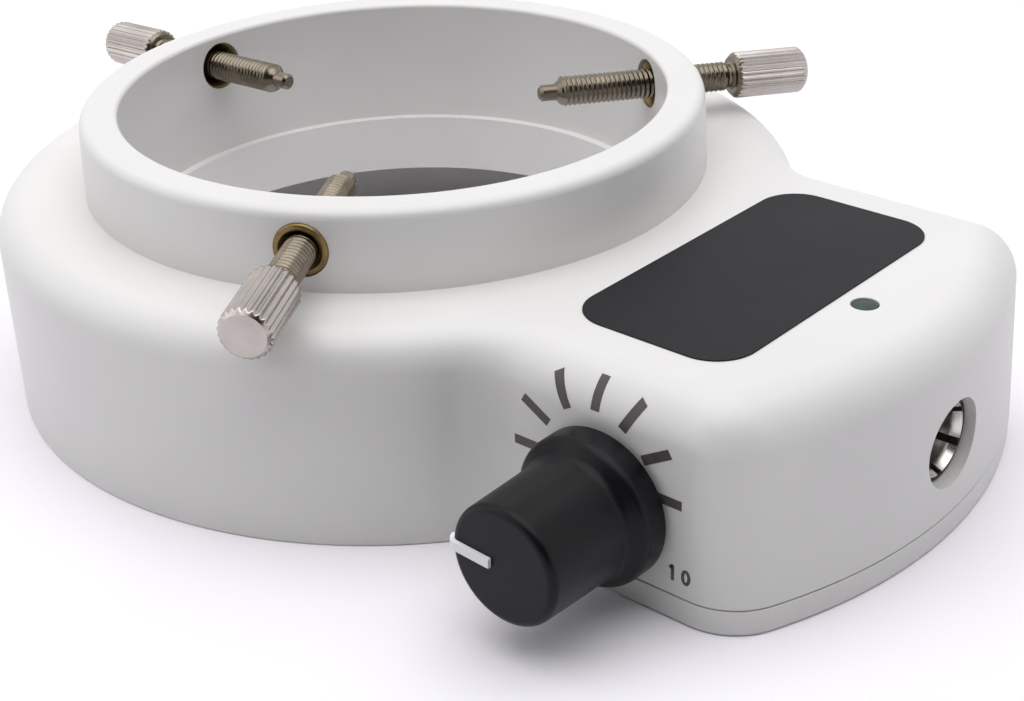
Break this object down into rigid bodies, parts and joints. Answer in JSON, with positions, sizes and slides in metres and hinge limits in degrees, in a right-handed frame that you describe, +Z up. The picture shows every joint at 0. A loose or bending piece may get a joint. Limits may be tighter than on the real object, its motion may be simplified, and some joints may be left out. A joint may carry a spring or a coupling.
{
  "type": "microscope ring illuminator",
  "caption": "White moulded ring light for a stereo microscope, with thumb screws that clamp it on an objective, and a control box with a dimmer knob and a power inlet.",
  "frame": {"origin": "on the ring's axis, in the plane of its underside", "axes": "+Z up along the ring's axis towards the microscope, +X from the ring to the control box"},
  "size_m": [0.1245, 0.0926, 0.0318],
  "materials": {
    "white_abs": "moulded white plastic, polished",
    "plate_abs": "moulded white plastic, fine matt",
    "zinc_screw": "zinc-plated steel",
    "board_laminate": "glass-epoxy board with green resist",
    "clear_epoxy": "clear cast epoxy lens",
    "insert_brass": "turned brass",
    "nickel_plate": "turned and bright nickel-plated",
    "chip_resin": "moulded black resin",
    "ferrite": "sintered ferrite",
    "capacitor_sleeve": "shrunk plastic sleeve",
    "wire_red": "extruded insulation",
    "wire_black": "extruded insulation",
    "control_resin": "moulded resin",
    "control_metal": "plated metal",
    "knob_black": "moulded black plastic, satin",
    "pointer_white": "white inlay",
    "inlet_black": "moulded black plastic",
    "contact_plate": "nickel-plated contact metal",
    "indicator_green": "tinted green lens, unlit",
    "label_charcoal": "printed charcoal film, bare"
  },
  "bodies": {
    "housing": {"upper_housing": "white_abs", "base_cover": "white_abs", "cover_screws": "zinc_screw", "lamp_plate": "plate_abs", "plate_screws": "zinc_screw", "lamp_board": "board_laminate", "lamps_inner": "clear_epoxy", "lamps_middle": "clear_epoxy", "lamps_outer": "clear_epoxy", "thread_inserts": "insert_brass", "control_board": "board_laminate", "board_screws": "zinc_screw", "driver_chip": "chip_resin", "inductor": "ferrite", "capacitor": "capacitor_sleeve", "supply_wire_red": "wire_red", "supply_wire_black": "wire_black", "control_body": "control_resin", "control_bushing": "control_metal", "control_washer": "control_metal", "control_nut": "control_metal", "inlet_body": "inlet_black", "inlet_sleeve": "contact_plate", "inlet_pin": "contact_plate", "indicator_lamp": "indicator_green", "indicator_board": "board_laminate", "label_plate": "label_charcoal"},
    "knob": {"knob": "knob_black", "knob_pointer": "pointer_white", "control_shaft": "control_metal"},
    "screw_front": {"thumb_screw_front": "nickel_plate"},
    "screw_right": {"thumb_screw_right": "nickel_plate"},
    "screw_left": {"thumb_screw_left": "nickel_plate"}
  },
  "joints": [
    {"name": "knob_turn", "type": "hinge", "parent": "housing", "child": "knob", "pos_m": [0.0517, -0.0267, 0.0103], "axis": [0, -1, 0], "range_deg": [-217, 43]},
    {"name": "clamp_front", "type": "slide", "parent": "housing", "child": "screw_front", "axis": [-0.4842, 0.8736, 0.0488], "range_m": [-0.0126, 0.0069]},
    {"name": "clamp_right", "type": "slide", "parent": "housing", "child": "screw_right", "axis": [-0.5144, -0.8561, 0.0489], "range_m": [-0.014, 0.0055]},
    {"name": "clamp_left", "type": "slide", "parent": "housing", "child": "screw_left", "axis": [0.9987, -0.0174, 0.0488], "range_m": [-0.0133, 0.0062]}
  ]
}
